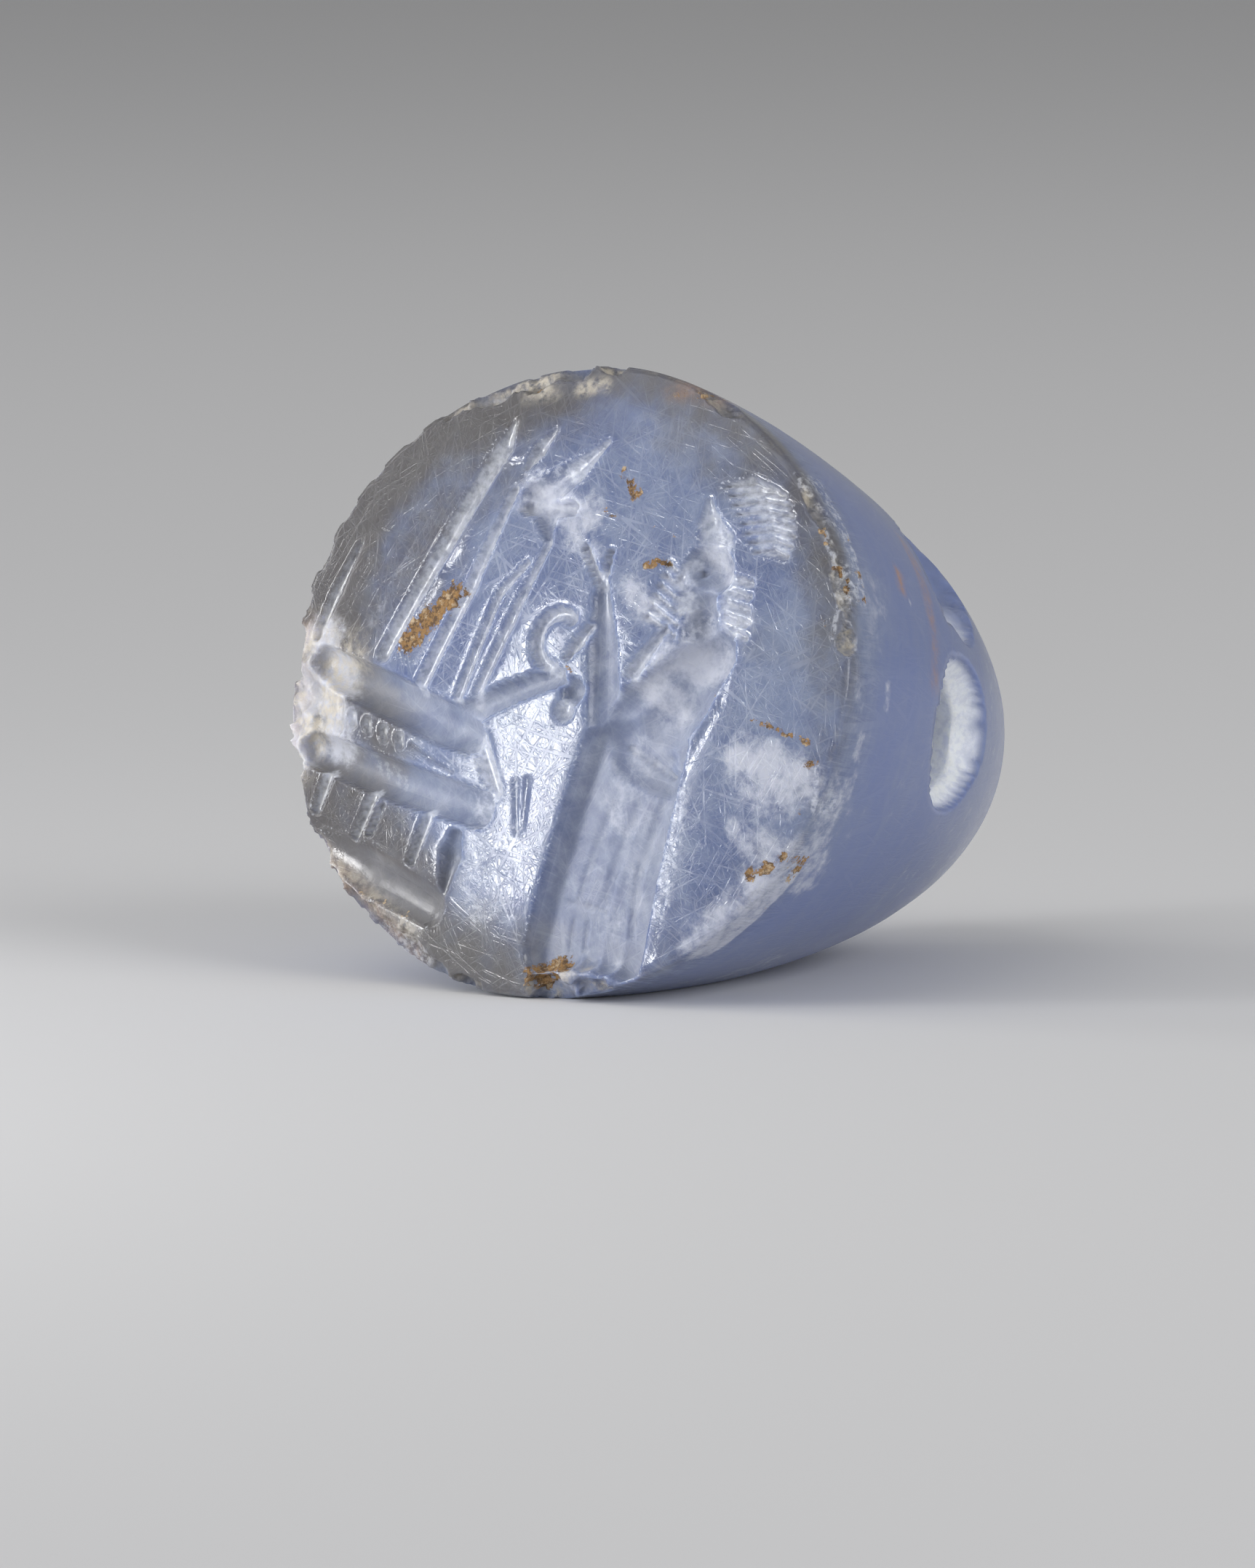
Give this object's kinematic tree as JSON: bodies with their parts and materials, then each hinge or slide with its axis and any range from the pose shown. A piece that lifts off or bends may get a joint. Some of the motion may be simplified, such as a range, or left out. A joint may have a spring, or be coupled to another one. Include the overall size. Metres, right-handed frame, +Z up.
{
  "type": "stamp seal",
  "caption": "Domed conoid stamp seal of pale blue translucent stone, pierced crosswise, with an engraved slightly convex oval face, lying on its side.",
  "frame": {"origin": "under the middle of the stone's outer box, on the surface it lies on", "axes": "+Z up, +Y from the engraved face to the domed end, +X to the right of someone looking at the face"},
  "size_m": [0.0234, 0.0248, 0.0215],
  "materials": {
    "chalcedony": "polished translucent blue-grey stone, clouded, worn and chipped at the rim"
  },
  "bodies": {
    "root": {"seal_stone": "chalcedony"}
  },
  "joints": []
}
